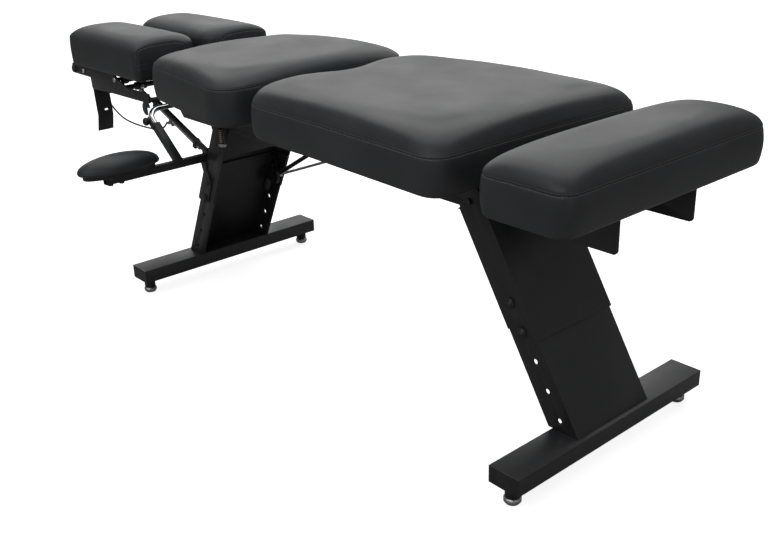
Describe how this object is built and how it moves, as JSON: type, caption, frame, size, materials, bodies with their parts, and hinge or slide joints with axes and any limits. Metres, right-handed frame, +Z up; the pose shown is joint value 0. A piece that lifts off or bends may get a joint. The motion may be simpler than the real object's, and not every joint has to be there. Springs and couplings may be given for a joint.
{
  "type": "chiropractic table",
  "caption": "Chiropractic table on two slanted channel legs, with split face cushions on a tilting head section, dropping chest and pelvic sections and hanging armrests.",
  "frame": {"origin": "on the floor, in the middle of the table's length and width", "axes": "+X toward the foot end, -Y the near side, +Z up"},
  "size_m": [2.064, 0.994, 0.727],
  "materials": {
    "frame_black": "satin black powder coat",
    "chrome": "bright chrome",
    "zinc": "bright zinc plate",
    "spring_steel": "plated spring wire",
    "grey_casting": "grey die casting",
    "black_plastic": "black moulded plastic",
    "rubber": "black rubber",
    "vinyl": "black upholstery vinyl over foam",
    "plywood": "black-stained plywood"
  },
  "bodies": {
    "base": {"head_base_bar": "frame_black", "foot_base_bar": "frame_black", "bar_end_caps": "black_plastic", "glide_bushes": "black_plastic", "head_post": "frame_black", "foot_post": "frame_black", "head_sleeve": "frame_black", "foot_sleeve": "frame_black", "cross_plates": "frame_black", "leg_bolts": "frame_black", "rail_bolts": "frame_black", "rails": "frame_black", "cross_members": "frame_black", "foot_plates": "frame_black", "foot_board": "plywood", "foot_cushion": "vinyl", "drop_bumpers": "rubber", "spring_tab": "frame_black", "brace_tube": "chrome", "sockets": "frame_black", "arm_crossbar": "frame_black", "arm_straps": "frame_black", "arm_boards": "frame_black", "near_arm_pad": "vinyl", "far_arm_pad": "vinyl", "cocking_bracket": "frame_black"},
    "near_head_foot": {"near_head_glide": "zinc"},
    "far_head_foot": {"far_head_glide": "zinc"},
    "near_foot_foot": {"near_foot_glide": "zinc"},
    "far_foot_foot": {"far_foot_glide": "zinc"},
    "chest_section": {"chest_frame": "frame_black", "chest_board": "plywood", "chest_cushion": "vinyl", "chest_spring": "spring_steel"},
    "chest_nut": {"chest_wing_nut": "zinc"},
    "pelvic_section": {"pelvic_frame": "frame_black", "pelvic_board": "plywood", "pelvic_cushion": "vinyl"},
    "head_section": {"head_plates": "frame_black", "head_cross_tubes": "frame_black", "guide_rods": "chrome", "paper_brackets": "frame_black", "release_cable": "black_plastic"},
    "near_face": {"near_face_board": "plywood", "near_face_cushion": "vinyl", "near_face_bearings": "black_plastic"},
    "far_face": {"far_face_board": "plywood", "far_face_cushion": "vinyl", "far_face_bearings": "black_plastic"},
    "release": {"release_lever": "black_plastic"},
    "lock_strut": {"lock_rod": "chrome", "lock_bracket": "grey_casting"},
    "lock_slider": {"lock_bar": "frame_black"},
    "near_clamp": {"near_clamp_knob": "black_plastic"},
    "far_clamp": {"far_clamp_knob": "black_plastic"},
    "cocking": {"cocking_lever": "black_plastic"},
    "cocking_disc": {"cocking_knob": "black_plastic"},
    "chest_push": {"chest_link": "chrome"},
    "pelvic_push": {"pelvic_link": "chrome"}
  },
  "joints": [
    {"name": "near_head_glide_turn", "type": "hinge", "parent": "base", "child": "near_head_foot", "pos_m": [-0.541, -0.28, 0.02], "axis": [0, 0, 1], "continuous": true},
    {"name": "far_head_glide_turn", "type": "hinge", "parent": "base", "child": "far_head_foot", "pos_m": [-0.541, 0.28, 0.02], "axis": [0, 0, 1], "continuous": true},
    {"name": "near_foot_glide_turn", "type": "hinge", "parent": "base", "child": "near_foot_foot", "pos_m": [0.899, -0.28, 0.02], "axis": [0, 0, 1], "continuous": true},
    {"name": "far_foot_glide_turn", "type": "hinge", "parent": "base", "child": "far_foot_foot", "pos_m": [0.899, 0.28, 0.02], "axis": [0, 0, 1], "continuous": true},
    {"name": "chest_drop", "type": "hinge", "parent": "base", "child": "chest_section", "pos_m": [-0.446, 0, 0.5507], "axis": [0, 1, 0], "range_deg": [0, 1.5], "deforming": ["chest_spring"]},
    {"name": "pelvic_drop", "type": "hinge", "parent": "base", "child": "pelvic_section", "pos_m": [0.684, 0, 0.5507], "axis": [0, -1, 0], "range_deg": [0, 1.3]},
    {"name": "chest_nut_turn", "type": "hinge", "parent": "chest_section", "child": "chest_nut", "pos_m": [-0.293, -0.134, 0.46], "axis": [0, 0, 1], "continuous": true},
    {"name": "head_tilt", "type": "hinge", "parent": "base", "child": "head_section", "pos_m": [-0.569, 0, 0.529], "axis": [0, 1, 0], "range_deg": [-20, 8]},
    {"name": "near_face_slide", "type": "slide", "parent": "head_section", "child": "near_face", "axis": [0, -1, 0], "range_m": [0, 0.016]},
    {"name": "far_face_slide", "type": "slide", "parent": "head_section", "child": "far_face", "axis": [0, 1, 0], "range_m": [0, 0.016]},
    {"name": "release_squeeze", "type": "hinge", "parent": "head_section", "child": "release", "pos_m": [-0.986, -0.138, 0.571], "axis": [0, 1, 0], "range_deg": [0, 10], "stiffness_Nm_per_rad": 0.5},
    {"name": "strut_swing", "type": "hinge", "parent": "head_section", "child": "lock_strut", "pos_m": [-0.806, -0.095, 0.549], "axis": [0, -1, 0], "range_deg": [-9, 4]},
    {"name": "strut_slide", "type": "slide", "parent": "lock_strut", "child": "lock_slider", "axis": [0.9308, 0, -0.3656], "range_m": [-0.034, 0.016]},
    {"name": "near_clamp_turn", "type": "hinge", "parent": "base", "child": "near_clamp", "pos_m": [-0.53844, -0.23, 0.50478], "axis": [0, 1, 0], "continuous": true},
    {"name": "far_clamp_turn", "type": "hinge", "parent": "base", "child": "far_clamp", "pos_m": [-0.53844, 0.23, 0.50478], "axis": [0, 1, 0], "continuous": true},
    {"name": "cocking_turn", "type": "hinge", "parent": "base", "child": "cocking", "pos_m": [-0.4037, 0.098, 0.33582], "axis": [0, -1, 0], "range_deg": [0, 20]},
    {"name": "cocking_disc_turn", "type": "hinge", "parent": "cocking", "child": "cocking_disc", "pos_m": [-0.3817, 0.085, 0.30782], "axis": [0, 1, 0], "continuous": true},
    {"name": "chest_push_turn", "type": "hinge", "parent": "cocking", "child": "chest_push", "pos_m": [-0.3817, 0.092, 0.30782], "axis": [0, -1, 0], "range_deg": [-21, 1]},
    {"name": "pelvic_push_turn", "type": "hinge", "parent": "cocking", "child": "pelvic_push", "pos_m": [-0.3817, 0.107, 0.30782], "axis": [0, -1, 0], "range_deg": [-21, 1]}
  ],
  "couplings": [
    {"joint": "strut_swing", "follows": "head_tilt", "ratio": 0.41},
    {"joint": "strut_slide", "follows": "head_tilt", "m_per_rad": 0.078},
    {"joint": "chest_push_turn", "follows": "cocking_turn", "ratio": -1},
    {"joint": "pelvic_push_turn", "follows": "cocking_turn", "ratio": -1}
  ]
}
